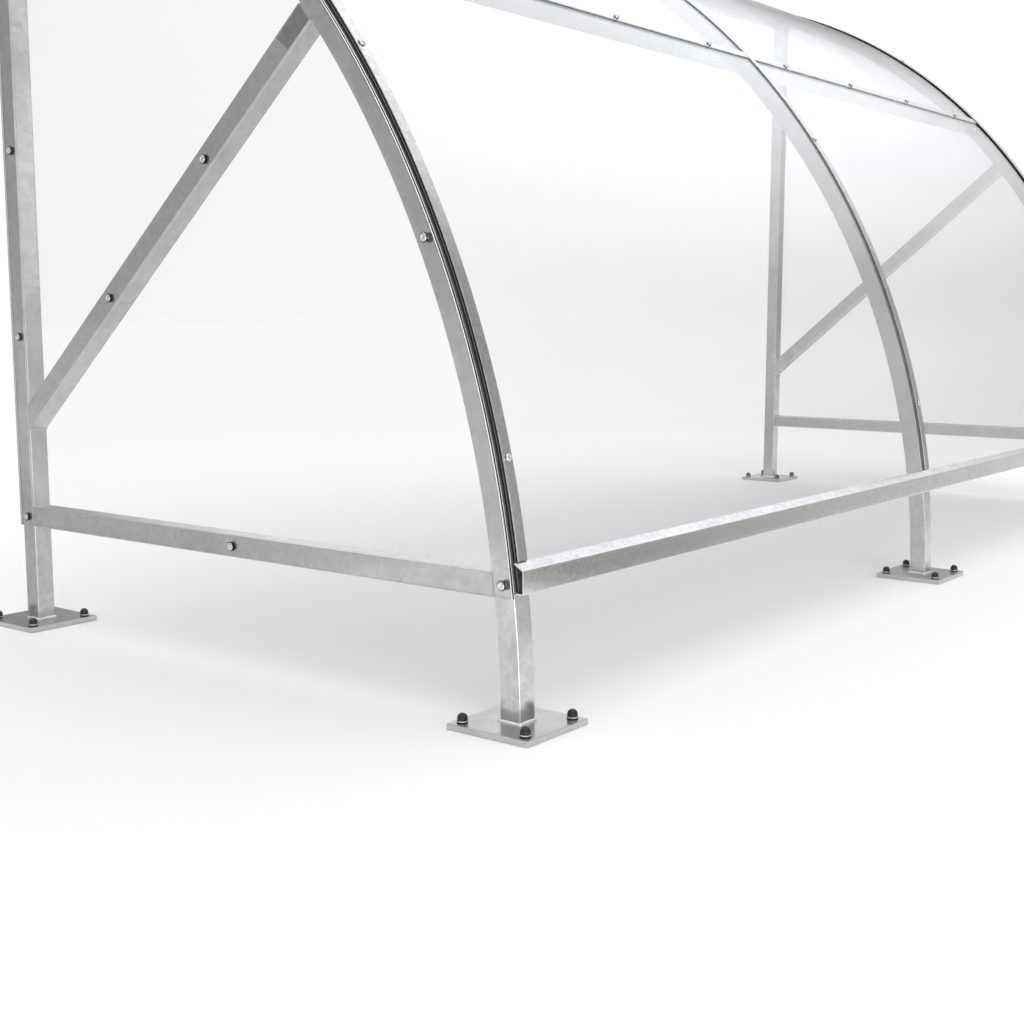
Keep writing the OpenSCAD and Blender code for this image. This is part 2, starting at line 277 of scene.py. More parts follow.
# ---------------------------------------------------------------- mesh building
class Shape:
    """Collects faces with their UVs, in metres, and their material numbers."""

    def __init__(self):
        self.v, self.f, self.uv, self.m = [], [], [], []

    def surface(self, rings, us, vs, mat=0, close=True, mats=None):
        """Quads between rings of points. us has one value per point, and one more where the ring closes."""
        base, n = len(self.v), len(rings[0])
        for r in rings:
            self.v.extend(tuple(p) for p in r)
        for i in range(len(rings) - 1):
            for j in range(n if close else n - 1):
                k = (j + 1) % n
                self.f.append((base + i * n + j, base + i * n + k, base + (i + 1) * n + k, base + (i + 1) * n + j))
                self.uv.append(((us[j], vs[i]), (us[j + 1], vs[i]), (us[j + 1], vs[i + 1]), (us[j], vs[i + 1])))
                self.m.append(mats[j] if mats else mat)
        return base, n, len(rings)

    def cap(self, idx, uvs, mat=0):
        self.f.append(tuple(idx))
        self.uv.append(tuple(uvs))
        self.m.append(mat)

    def sweep(self, rings, us, vs, mat=0, mats=None, cap_mat=None, cap_uv=None):
        base, n, k = self.surface(rings, us, vs, mat, True, mats)
        cm = mat if cap_mat is None else cap_mat
        uv = cap_uv or [(us[j], vs[0]) for j in range(n)]
        self.cap([base + j for j in range(n)][::-1], uv[::-1], cm)
        self.cap([base + (k - 1) * n + j for j in range(n)], uv, cm)

    def lathe(self, profile, centre, axis, side, seg=28, mat=0):
        """Turns (radius, height) pairs about an axis. side is any direction across it."""
        c, a = Vector(centre), Vector(axis).normalized()
        s = Vector(side).normalized()
        w = a.cross(s)
        base = len(self.v)
        rows = []
        for r, h in profile:
            if r < 1e-7:
                self.v.append(tuple(c + a * h))
                rows.append([len(self.v) - 1] * seg)
            else:
                row = []
                for i in range(seg):
                    t = 2 * math.pi * i / seg
                    self.v.append(tuple(c + a * h + (s * math.cos(t) + w * math.sin(t)) * r))
                    row.append(len(self.v) - 1)
                rows.append(row)
        for i in range(len(rows) - 1):
            for j in range(seg):
                q = [rows[i][j], rows[i][(j + 1) % seg], rows[i + 1][(j + 1) % seg], rows[i + 1][j]]
                q = list(dict.fromkeys(q))
                if len(q) < 3:
                    continue
                self.f.append(tuple(q))
                self.uv.append(tuple((j / seg * 0.06, i * 0.004) for _ in q))
                self.m.append(mat)
        for row, flip in ((rows[0], True), (rows[-1], False)):
            if len(set(row)) > 1:
                self.cap(row[::-1] if flip else row, [(0.001 * i, 0.0) for i in range(seg)], mat)

    def build(self, name, mats, sharp=32.0, nodes=(), weighted=True):
        me = bpy.data.meshes.new(name)
        me.from_pydata(self.v, [], self.f)
        layer = me.uv_layers.new(name="UVMap")
        flat = [c for face in self.uv for pair in face for c in pair]
        layer.data.foreach_set("uv", flat)
        me.polygons.foreach_set("material_index", self.m)
        for mt in mats:
            me.materials.append(mt)
        bm = bmesh.new()
        bm.from_mesh(me)
        bmesh.ops.recalc_face_normals(bm, faces=bm.faces)
        bm.to_mesh(me)
        bm.free()
        me.shade_smooth()
        me.set_sharp_from_angle(angle=math.radians(sharp))
        ob = bpy.data.objects.new(name, me)
        bpy.context.scene.collection.objects.link(ob)
        if weighted:
            wn = ob.modifiers.new("weighted_normals", "WEIGHTED_NORMAL")
            wn.keep_sharp = True
        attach(ob, "root")
        if nodes:
            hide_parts(*nodes)
        return ob


def rrect(w, h, r, n=5):
    """Outline of a rectangle with round corners, counter-clockwise."""
    pts = []
    for cx, cy, a0 in ((1, 1, 0), (-1, 1, 90), (-1, -1, 180), (1, -1, 270)):
        for i in range(n + 1):
            t = math.radians(a0 + 90 * i / n)
            pts.append((cx * (w / 2 - r) + r * math.cos(t), cy * (h / 2 - r) + r * math.sin(t)))
    return pts


def lengths(pts, offset=0.0, close=True):
    out = [offset]
    seq = list(pts) + ([pts[0]] if close else [])
    for a, b in zip(seq, seq[1:]):
        out.append(out[-1] + math.dist(a, b))
    return out


def polar(r, deg, x):
    t = math.radians(deg)
    return (x, Y_AXIS + r * math.cos(t), AXIS_Z + r * math.sin(t))


def steps(a0, a1, size):
    n = max(1, math.ceil(abs(a1 - a0) / size))
    return [a0 + (a1 - a0) * i / n for i in range(n + 1)]


def band(name, r0, r1, x0, x1, a0, a1, mats, bevel=0.0006, edge=0, nodes=(), size=0.75, seed=0.0):
    """A strip or sheet that follows the curve, with eased edges."""
    s = Shape()
    cx, cr = (x0 + x1) / 2, (r0 + r1) / 2
    prof = rrect(x1 - x0, r1 - r0, bevel, 2)
    us = lengths(prof, seed)
    angles = steps(a0, a1, size)
    rings = [[polar(cr + b, a, cx + c) for c, b in prof] for a in angles]
    vs = [math.radians(a) * cr + seed for a in angles]
    per = len(prof) // 4
    # the outline starts on the +x side: faces there and opposite are the sheet's long edges
    mm = []
    for j in range(len(prof)):
        k = (j + 1) % len(prof)
        mm.append(0 if abs(prof[j][1] - prof[k][1]) < 1e-9 and abs(prof[j][0] - prof[k][0]) > bevel * 2 else edge)
    s.sweep(rings, us, vs, mats=mm, cap_mat=edge)
    return s.build(name, mats, nodes=nodes)


def straight(s, origin, ta, tb, prof, start, end, seed=0.0, parts=1):
    """A tube along ta x tb. start and end give each outline point's own cut."""
    o, a, b = Vector(origin), Vector(ta), Vector(tb)
    t = a.cross(b)
    us = lengths(prof, seed)
    base = [o + a * p + b * q for p, q in prof]
    s0 = [start(c) for c in base]
    s1 = [end(c) for c in base]
    rings = [[c + t * (u + (w - u) * i / parts) for c, u, w in zip(base, s0, s1)] for i in range(parts + 1)]
    m0, m1 = sum(s0) / len(s0), sum(s1) / len(s1)
    s.sweep(rings, us, [seed + m0 + (m1 - m0) * i / parts for i in range(parts + 1)], mats=TUBE_MATS)


def hit_curve(p, t, r):
    """Distance from p along t to the far side of the cylinder of radius r about the curve's axis."""
    y, z = p.y - Y_AXIS, p.z - AXIS_Z
    b = y * t.y + z * t.z
    c = y * y + z * z - r * r
    return -b + math.sqrt(b * b - c)


TUBE_2D = rrect(TUBE, TUBE, CORNER)
# the middle of each round corner takes a lighter steel than the faces: a painted highlight along the arris
TUBE_MATS = [1 if j % 6 in (1, 2, 3) else 0 for j in range(24)]

# ---------------------------------------------------------------- frame
for i, (side, x) in enumerate(FRAMES):
    s = Shape()
    angles = steps(1.2, A_END, 0.75)
    seed = 3.1 * i
    us = lengths(TUBE_2D, seed)
    # the outline's first axis is X, its second points out of the curve
    first = []
    for a, b in TUBE_2D:
        r = R + b
        first.append((x + a, Y_AXIS + math.sqrt(r * r - (PLATE_T - AXIS_Z) ** 2), PLATE_T))
    rings = [first] + [[polar(R + b, g, x + a) for a, b in TUBE_2D] for g in angles]
    vs = [seed + PLATE_T] + [seed + math.radians(g) * R for g in angles]
    s.sweep(rings, us, vs, mats=TUBE_MATS)
    s.build("tube_arch_" + side, [FRAME_STEEL, HIGHLIGHT_STEEL], nodes=["arch_" + side])

for i, (side, d) in enumerate(SIDES):
    x = d * BAY
    s = Shape()
    straight(s, (x, Y_POST, 0), (1, 0, 0), (0, 1, 0), TUBE_2D, lambda c: PLATE_T,
             lambda c: AXIS_Z + math.sqrt(R_IN ** 2 - (c.y - Y_AXIS) ** 2) + 0.001, seed=11.0 + i)
    s.build("tube_post_" + side, [FRAME_STEEL, HIGHLIGHT_STEEL], nodes=["post_" + side])

    s = Shape()
    t = Vector((0, math.cos(BRACE_A), math.sin(BRACE_A)))
    nrm = Vector((0, -math.sin(BRACE_A), math.cos(BRACE_A)))
    straight(s, (x, Y_POST + HALF, BRACE_Z), nrm.cross(t), nrm, [(a, b) for a, b in TUBE_2D],
             lambda c: (Y_POST + HALF - 0.0002 - c.y) / t.y, lambda c: hit_curve(c, t, R_IN + 0.0002), seed=17.0 + i)
    s.build("tube_brace_" + side, [FRAME_STEEL, HIGHLIGHT_STEEL], nodes=["brace_" + side])

    s = Shape()
    t2 = Vector((0, 1, 0))
    straight(s, (x, Y_POST + HALF, RAIL_Z), (0, 0, 1), (1, 0, 0), TUBE_2D,
             lambda c: -0.0002, lambda c: hit_curve(c, t2, R_IN + 0.0002), seed=23.0 + i)
    s.build("tube_end_rail_" + side, [FRAME_STEEL, HIGHLIGHT_STEEL], nodes=["end_rail_" + side])

    x0 = HALF if d > 0 else HALF - BAY
    for kind, ang, depth in (("front_beam", A_POST, BEAM_D), ("purlin", JOINT_A, TUBE)):
        g = math.radians(ang)
        radial = Vector((0, math.cos(g), math.sin(g)))
        along = Vector((0, -math.sin(g), math.cos(g)))
        rc = R_OUT - 0.0002 - depth / 2
        s = Shape()
        straight(s, (x0, Y_AXIS + rc * math.cos(g), AXIS_Z + rc * math.sin(g)), radial, along, rrect(depth, TUBE, CORNER),
                 lambda c: 0.0, lambda c: BAY - TUBE, seed=29.0 + 5 * i)
        s.build("tube_" + kind + "_" + side, [FRAME_STEEL, HIGHLIGHT_STEEL], nodes=[kind + "_" + side])


# ---------------------------------------------------------------- foot plates, welds and anchors
def foot_plate(name, x, y, cad):
    bm = bmesh.new()
    rings = []
    for inset, z in ((0.0010, 0.0), (0.0002, 0.0004), (0.0, 0.0012), (0.0, PLATE_T - 0.0014),
                     (0.0004, PLATE_T - 0.0005), (0.0014, PLATE_T)):
        w = PLATE - 2 * inset
        rings.append([bm.verts.new((x + a, y + b, z)) for a, b in rrect(w, w, 0.0025 - inset * 0.5, 3)])
    n = len(rings[0])
    for r0, r1 in zip(rings, rings[1:]):
        for j in range(n):
            bm.faces.new((r0[j], r0[(j + 1) % n], r1[(j + 1) % n], r1[j]))
    seg = 32
    holes = []
    for i in (-1, 1):
        for j in (-1, 1):
            cx, cy = x + i * PITCH / 2, y + j * PITCH / 2
            loops = []
            for z in (0.0, PLATE_T):
                loops.append([bm.verts.new((cx + HOLE_D / 2 * math.cos(2 * math.pi * k / seg),
                                            cy + HOLE_D / 2 * math.sin(2 * math.pi * k / seg), z)) for k in range(seg)])
            for k in range(seg):
                bm.faces.new((loops[0][k], loops[1][k], loops[1][(k + 1) % seg], loops[0][(k + 1) % seg]))
            holes.append(loops)
    for level, outer in ((0, rings[0]), (1, rings[-1])):
        edges = [bm.edges.get((outer[j], outer[(j + 1) % n])) for j in range(n)]
        for h in holes:
            edges += [bm.edges.get((h[level][k], h[level][(k + 1) % seg])) for k in range(seg)]
        bmesh.ops.triangle_fill(bm, use_beauty=True, use_dissolve=False, edges=edges)
    bmesh.ops.recalc_face_normals(bm, faces=bm.faces)
    uv = bm.loops.layers.uv.new("UVMap")
    for f in bm.faces:
        for l in f.loops:
            l[uv].uv = (l.vert.co.x, l.vert.co.y + l.vert.co.z)
    me = bpy.data.meshes.new(name)
    bm.to_mesh(me)
    bm.free()
    me.materials.append(PLATE_STEEL)
    me.shade_smooth()
    me.set_sharp_from_angle(angle=math.radians(40))
    ob = bpy.data.objects.new(name, me)
    bpy.context.scene.collection.objects.link(ob)
    wn = ob.modifiers.new("weighted_normals", "WEIGHTED_NORMAL")
    wn.keep_sharp = True
    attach(ob, "root")
    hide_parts(cad)
    return ob


def foot_weld(s, x, y):
    """Fillet weld round a tube's foot, with the slight ripple of a laid bead."""
    path = rrect(TUBE, TUBE, CORNER, 8)
    # more points along the flat sides
    dense = []
    for a, b in zip(path, path[1:] + path[:1]):
        d = math.dist(a, b)
        k = max(1, round(d / 0.0014))
        dense += [(a[0] + (b[0] - a[0]) * i / k, a[1] + (b[1] - a[1]) * i / k) for i in range(k)]
    n = len(dense)
    phase = rng.random() * 6
    rings = []
    for j in range(n):
        p0, p1 = Vector(dense[j - 1]), Vector(dense[(j + 1) % n])
        t = (p1 - p0).normalized()
        nx, ny = t.y, -t.x
        w = j / n * 2 * math.pi
        leg = 0.0048 + 0.00025 * math.sin(31 * w + phase) + 0.0004 * math.sin(3 * w + phase * 2) + 0.0002 * math.sin(7 * w)
        ring = []
        for u, v in ((-0.0015, -0.0005), (-0.0015, leg), (0.0, leg), (0.30 * leg, 0.84 * leg), (0.60 * leg, 0.60 * leg),
                     (0.84 * leg, 0.30 * leg), (leg, 0.0), (leg, -0.0005)):
            ring.append((x + dense[j][0] + nx * u, y + dense[j][1] + ny * u, PLATE_T + v))
        rings.append(ring)
    rings.append(rings[0])
    base = len(s.v)
    k = len(rings[0])
    for r in rings[:-1]:
        s.v.extend(r)
    us = [0, .002, .006, .008, .011, .014, .016, .018, .020]
    for j in range(n):
        for i in range(k):
            a, b = base + j * k + i, base + j * k + (i + 1) % k
            c, d = base + ((j + 1) % n) * k + (i + 1) % k, base + ((j + 1) % n) * k + i
            s.f.append((a, b, c, d))
            s.uv.append(((us[i], j * .0014), (us[i + 1], j * .0014), (us[i + 1], (j + 1) * .0014), (us[i], (j + 1) * .0014)))
            s.m.append(0)


def anchors(s, x, y):
    """Four ground anchors: rubber seat, bright ring and black domed cap."""
    for i in (-1, 1):
        for j in (-1, 1):
            c = (x + i * PITCH / 2, y + j * PITCH / 2, PLATE_T)
            turn = rng.random() * 3
            side = (math.cos(turn), math.sin(turn), 0)
            # seat with a soft rim
            s.lathe([(0.0, 0.0), (0.0122, 0.0), (0.0126, 0.0005), (0.0126, 0.0018), (0.0121, 0.0024), (0.0, 0.0024)], c, (0, 0, 1), side, 36, 0)
            # bright ring
            s.lathe([(0.0, 0.0024), (0.0116, 0.0024), (0.0121, 0.0029), (0.0121, 0.0046), (0.0116, 0.0051), (0.0, 0.0051)], c, (0, 0, 1), side, 36, 1)
            # cap: short skirt and dome
            dome = [(0.0, 0.0051), (0.0114, 0.0051), (0.0118, 0.0056), (0.0118, 0.0098)]
            for q in range(1, 9):
                t = q / 8 * math.pi / 2
                dome.append((0.0118 * math.cos(t) if q < 8 else 0.0, 0.0104 + 0.0118 * math.sin(t)))
            s.lathe(dome, c, (0, 0, 1), side, 36, 2)
            # stud down through the plate
            s.lathe([(0.0, 0.0004 - PLATE_T), (0.0056, 0.0004 - PLATE_T), (0.0060, 0.0010 - PLATE_T), (0.0060, 0.001), (0.0, 0.001)], c, (0, 0, 1), side, 24, 1)


for side, x in FRAMES:
    foot_plate("foot_plate_rear_" + side, x, Y_FOOT, "rear_plate_" + side)
for side, d in SIDES:
    foot_plate("foot_plate_front_" + side, d * BAY, Y_POST, "front_plate_" + side)
feet = [("rear_" + side, x, Y_FOOT) for side, x in FRAMES] + [("front_" + side, d * BAY, Y_POST) for side, d in SIDES]
for label, x, y in feet:
    s = Shape()
    foot_weld(s, x, y)
    s.build("foot_weld_" + label, [WELD_STEEL], sharp=50, weighted=False)
    s = Shape()
    anchors(s, x, y)
    s.build("anchors_" + label, [RUBBER, BOLT_STEEL, CAP_BLACK], sharp=38, weighted=False)


def bead(s, pts, r, n=8, closed=False):
    """A small weld bead along a line of points."""
    dense = []
    seq = [Vector(p) for p in pts] + ([Vector(pts[0])] if closed else [])
    for a, b in zip(seq, seq[1:]):
        k = max(1, round((b - a).length / 0.004))
        dense += [a.lerp(b, i / k) for i in range(k)]
    if not closed:
        dense.append(seq[-1])
    m = len(dense)
    phase = rng.random() * 6
    rings = []
    for j, p in enumerate(dense):
        q0 = dense[j - 1] if (j > 0 or closed) else p
        q1 = dense[(j + 1) % m] if (j < m - 1 or closed) else p
        t = (q1 - q0).normalized()
        a = t.orthogonal().normalized() if j == 0 else (last - t * last.dot(t)).normalized()
        last = a
        b = t.cross(a)
        rr = r * (1 + 0.10 * math.sin(j * 1.9 + phase) + 0.06 * math.sin(j * 0.37 + phase))
        rings.append([tuple(p + (a * math.cos(2 * math.pi * i / n) + b * math.sin(2 * math.pi * i / n)) * rr) for i in range(n)])
    us = [i * 0.002 for i in range(n + 1)]
    if closed:
        rings.append(rings[0])
    s.sweep(rings, us, [0.004 * i for i in range(len(rings))])


for side, d in SIDES:
    xi, xo = d * (BAY - HALF), d * (BAY + HALF - 0.003)
    s = Shape()
    rw = 0.0026
    # end rail to post, and end rail to the curved tube
    for yf in (lambda z: Y_POST + HALF, lambda z: Y_AXIS + math.sqrt(R_IN ** 2 - (z - AXIS_Z) ** 2)):
        zt, zb = RAIL_Z + HALF, RAIL_Z - HALF
        bead(s, [(xo, yf(zt), zt), (xi + d * CORNER, yf(zt), zt), (xi, yf(zt - CORNER), zt - CORNER),
                 (xi, yf(zb + CORNER), zb + CORNER), (xi + d * CORNER, yf(zb), zb), (xo, yf(zb), zb)], rw)
    # brace to post
    dz = HALF / math.cos(BRACE_A)
    yb = Y_POST + HALF
    bead(s, [(xo, yb, BRACE_Z + dz), (xi + d * CORNER, yb, BRACE_Z + dz), (xi, yb, BRACE_Z + dz - CORNER),
             (xi, yb, BRACE_Z - dz + CORNER), (xi + d * CORNER, yb, BRACE_Z - dz), (xo, yb, BRACE_Z - dz)], rw)
    # brace to the curved tube
    ends = []
    for off in (HALF, -HALF):
        p = Vector((0, Y_POST + HALF - math.sin(BRACE_A) * off, BRACE_Z + math.cos(BRACE_A) * off))
        t = Vector((0, math.cos(BRACE_A), math.sin(BRACE_A)))
        ends.append(p + t * hit_curve(p, t, R_IN))
    (y1, z1), (y2, z2) = (ends[0].y, ends[0].z), (ends[1].y, ends[1].z)
    bead(s, [(xo, y1, z1), (xi + d * CORNER, y1, z1), (xi, y1 + (y2 - y1) * 0.07, z1 + (z2 - z1) * 0.07),
             (xi, y2 - (y2 - y1) * 0.07, z2 - (z2 - z1) * 0.07), (xi + d * CORNER, y2, z2), (xo, y2, z2)], rw)
    # post to the curved tube
    zf = lambda y: AXIS_Z + math.sqrt(R_IN ** 2 - (y - Y_AXIS) ** 2)
    ya, yc = Y_POST - HALF, Y_POST + HALF
    bead(s, [(xo, ya, zf(ya)), (xi + d * CORNER, ya, zf(ya)), (xi, ya + CORNER, zf(ya + CORNER)),
             (xi, yc - CORNER, zf(yc - CORNER)), (xi + d * CORNER, yc, zf(yc)), (xo, yc, zf(yc))], rw)
    # cross members to the curved tubes
    for ang, depth in ((A_POST, BEAM_D), (JOINT_A, TUBE)):
        g = math.radians(ang)
        rc = R_OUT - 0.0002 - depth / 2
        for xe in (HALF, BAY - HALF):
            ring = []
            for a, b in rrect(depth, TUBE, CORNER, 3):
                if a > depth / 2 - CORNER * 0.9:
                    continue
                ring.append((d * xe, Y_AXIS + (rc + a) * math.cos(g) - b * math.sin(g), AXIS_Z + (rc + a) * math.sin(g) + b * math.cos(g)))
            bead(s, ring, 0.0024)
    s.build("weld_beads_" + side, [WELD_STEEL], sharp=50, weighted=False)


# ---------------------------------------------------------------- bent edge profiles
def offset_line(pts, d):
    """An open line moved sideways by d, to its left, with mitred corners."""
    out = []
    for i, p in enumerate(pts):
        p = Vector(p)
        ns = []
        if i > 0:
            t = (p - Vector(pts[i - 1])).normalized()
            ns.append(Vector((-t.y, t.x)))
        if i < len(pts) - 1:
            t = (Vector(pts[i + 1]) - p).normalized()
            ns.append(Vector((-t.y, t.x)))
        if len(ns) == 1:
            out.append(p + ns[0] * d)
        else:
            b = (ns[0] + ns[1]).normalized()
            out.append(p + b * (d / b.dot(ns[0])))
    return out


def bent_outline(centre, t, r, n=5):
    """Outline of a bent sheet from its centre line, with round bends of that radius at the centre line."""
    line = [Vector(centre[0])]
    for a, b, c in zip(centre, centre[1:], centre[2:]):
        a, b, c = Vector(a), Vector(b), Vector(c)
        u, w = (a - b).normalized(), (c - b).normalized()
        ang = u.angle(w)
        cut = r / math.tan(ang / 2)
        mid = b + (u + w).normalized() * (r / math.sin(ang / 2))
        p, q = b + u * cut - mid, b + w * cut - mid
        turn = p.angle(q)
        sign = 1 if p.x * q.y - p.y * q.x > 0 else -1
        for i in range(n + 1):
            g = sign * turn * i / n
            line.append(mid + Vector((p.x * math.cos(g) - p.y * math.sin(g), p.x * math.sin(g) + p.y * math.cos(g))))
    line.append(Vector(centre[-1]))
    left = offset_line(line, t / 2)
    right = offset_line(line, -t / 2)
    return [tuple(p) for p in left] + [tuple(p) for p in reversed(right)]


def bend_mats(outline):
    """1 on the short pieces of the bends, which take the lighter steel of a painted highlight, 0 on the flats and cut
    edges.
    """
    return [1 if math.dist(outline[j], outline[(j + 1) % len(outline)]) < 0.0022 else 0 for j in range(len(outline))]


y_in = Y_AXIS + math.sqrt(R_OUT ** 2 - (REAR_Z - AXIS_Z) ** 2) + 0.0002
y_o, z_1 = Y_FOOT + REAR_OUT, REAR_Z + REAR_WEB
outer = [(y_in, REAR_Z), (y_o, REAR_Z), (y_o, z_1), (y_o - LIP_IN, z_1 + LIP_UP)]
rear_2d = bent_outline(offset_line(outer, BENT_T / 2), BENT_T, 0.0026)
for i, (side, d) in enumerate(SIDES):
    x0, x1 = (0.0005, BAY + HALF) if d > 0 else (-BAY - HALF, -0.0005)
    s = Shape()
    cuts = steps(x0, x1, 0.25)
    s.sweep([[(x, p[0], p[1]) for p in rear_2d] for x in cuts], lengths(rear_2d, 37.0 + i), [41.0 * i + x for x in cuts], mats=bend_mats(rear_2d))
    s.build("bent_rear_rail_" + side, [BENT_STEEL, HIGHLIGHT_STEEL], nodes=["rear_rail_" + side])

g = math.radians(A_END)
r_trim = R_IN - 0.008
outer = [(r_trim, -0.015), (r_trim, BENT_T), (R_SHEET_OUT + BENT_T, BENT_T), (R_SHEET_OUT + BENT_T, -TRIM_LIP)]
trim_2d = bent_outline(offset_line(outer, -BENT_T / 2), BENT_T, 0.0035)
for i, (side, d) in enumerate(SIDES):
    x0, x1 = (0.0005, BAY + HALF) if d > 0 else (-BAY - HALF, -0.0005)
    s = Shape()
    cuts = steps(x0, x1, 0.25)
    pts = [(Y_AXIS + a * math.cos(g) - b * math.sin(g), AXIS_Z + a * math.sin(g) + b * math.cos(g)) for a, b in trim_2d]
    s.sweep([[(x, p[0], p[1]) for p in pts] for x in cuts], lengths(pts, 47.0 + i), [53.0 * i + x for x in cuts], mats=bend_mats(trim_2d))
    s.build("bent_front_trim_" + side, [BENT_STEEL, HIGHLIGHT_STEEL], nodes=["front_trim_" + side])

# ---------------------------------------------------------------- cladding
for i, (side, d) in enumerate(SIDES):
    x0, x1 = (0.003, BAY + COVER_W / 2) if d > 0 else (-BAY - COVER_W / 2, -0.003)
    band("sheet_lower_" + side, R_SHEET, R_SHEET_OUT, x0, x1, A_LOW, JOINT_A - A_GAP, [CLEAR, ROOF_EDGE], 0.0004, 1,
         ["lower_sheet_" + side], 0.6)
    band("sheet_upper_" + side, R_SHEET, R_SHEET_OUT, x0, x1, JOINT_A + A_GAP, A_END, [CLEAR, ROOF_EDGE], 0.0004, 1,
         ["upper_sheet_" + side], 0.6)
    xa, xb = (HALF, BAY - HALF) if d > 0 else (HALF - BAY, -HALF)
    band("rubber_joint_" + side, R_OUT, R_SHEET, xa, xb, JOINT_A - A_STRIP, JOINT_A + A_STRIP, [RUBBER], 0.0006, 0,
         ["joint_gasket_" + side], 0.2)
    ca, cb = (COVER_W / 2 + 0.001, BAY - COVER_W / 2 - 0.001) if d > 0 else (COVER_W / 2 + 0.001 - BAY, -COVER_W / 2 - 0.001)
    band("strip_joint_" + side, R_SHEET_OUT, R_SHEET_OUT + 0.003, ca, cb, JOINT_A - A_STRIP, JOINT_A + A_STRIP, [BENT_STEEL], 0.0008, 0,
         ["joint_strip_" + side], 0.2, seed=59.0 + i)

for i, (side, x) in enumerate(FRAMES):
    w = COVER_W / 2
    rc = R_COV if x else R_SHEET_OUT + 0.001
    # the middle frame's gaskets are grey, not black: a painted reflection of the sky that the clear sheet mirrors over
    # them
    rub = RUBBER if x else MID_REFLECTION_RUBBER
    band("rubber_arch_" + side, R_OUT, R_SHEET, x - w, x + w, A_LOW, A_END, [rub], 0.0006, 0, ["arch_gasket_" + side])
    band("rubber_cover_" + side, R_SHEET_OUT, rc, x - w, x + w, A_COVER, A_TRIM, [rub], 0.0003, 0, ["cover_gasket_" + side])
    band("strip_cover_" + side, rc, rc + 0.003, x - w, x + w, A_COVER, A_TRIM, [BENT_STEEL], 0.0009, 0,
         ["cover_strip_" + side], seed=61.0 + 3 * i)


def end_outline(m):
    """The end wall's outline in (Y, Z), drawn in by m."""
    r = R_OUT - m
    yl, zb = Y_POST - HALF + m, RAIL_Z - HALF + m
    a0 = math.degrees(math.asin((zb - AXIS_Z) / r))
    a1 = math.degrees(math.acos((yl - Y_AXIS) / r))
    arc = [(Y_AXIS + r * math.cos(math.radians(a)), AXIS_Z + r * math.sin(math.radians(a))) for a in [a0 + (a1 - a0) * i / 96 for i in range(97)]]
    return arc + [(yl, zb)]


for side, d in SIDES:
    xg, xp = BAY + HALF, BAY + HALF + END_GASKET_T
    s = Shape()
    e = 0.0005
    rings = []
    for m, x in ((e, xp), (0.0, xp + e), (0.0, xp + END_SHEET_T - e), (e, xp + END_SHEET_T)):
        rings.append([(d * x, y, z) for y, z in end_outline(m)])
    out0 = end_outline(0.0)
    # the straight edges lie against steel and take its grey
    s.sweep(rings, lengths(out0), [0, e, END_SHEET_T - e, END_SHEET_T], mats=[1] * 96 + [2] * 2, cap_mat=0, cap_uv=[tuple(p) for p in end_outline(e)])
    s.build("sheet_end_" + side, [CLEAR, EDGE, CUT_EDGE], nodes=["end_panel_" + side])

    # flat packing between the straight tubes and the panel
    s = Shape()
    xc, w = d * (xg + END_GASKET_T / 2), TUBE - 0.001
    up, flat = rrect(END_GASKET_T, w, 0.0008), rrect(w, END_GASKET_T, 0.0008)
    along = Vector((0, math.cos(BRACE_A), math.sin(BRACE_A)))
    across = Vector((0, -math.sin(BRACE_A), math.cos(BRACE_A)))
    straight(s, (xc, Y_POST, 0), (1, 0, 0), (0, 1, 0), up, lambda c: RAIL_Z - w / 2,
             lambda c: AXIS_Z + math.sqrt(R_IN ** 2 - (c.y - Y_AXIS) ** 2) - 0.0005, seed=71.0 + d)
    straight(s, (xc, Y_POST + HALF, BRACE_Z), along.cross(across) * -1, across, up,
             lambda c: (Y_POST + HALF - c.y) / along.y, lambda c: hit_curve(c, along, R_IN - 0.0005), seed=77.0 + d)
    straight(s, (xc, Y_POST + HALF, RAIL_Z), (0, 0, 1), (1, 0, 0), flat, lambda c: 0.0,
             lambda c: hit_curve(c, Vector((0, 1, 0)), R_IN - 0.0005), seed=83.0 + d)
    s.build("panel_packing_" + side, [FRAME_STEEL, HIGHLIGHT_STEEL], nodes=["end_packing_" + side])

    ga = math.degrees(math.asin((RAIL_Z - HALF - AXIS_Z) / R_OUT))
    gb = math.degrees(math.acos((Y_POST - HALF - Y_AXIS) / R_OUT))
    xa, xb = (xg, xg + END_GASKET_T) if d > 0 else (-xg - END_GASKET_T, -xg)
    band("rubber_end_" + side, R_OUT - END_GASKET_W, R_OUT - 0.0002, xa, xb, ga, gb, [RUBBER], 0.0005, 0, ["end_gasket_" + side])


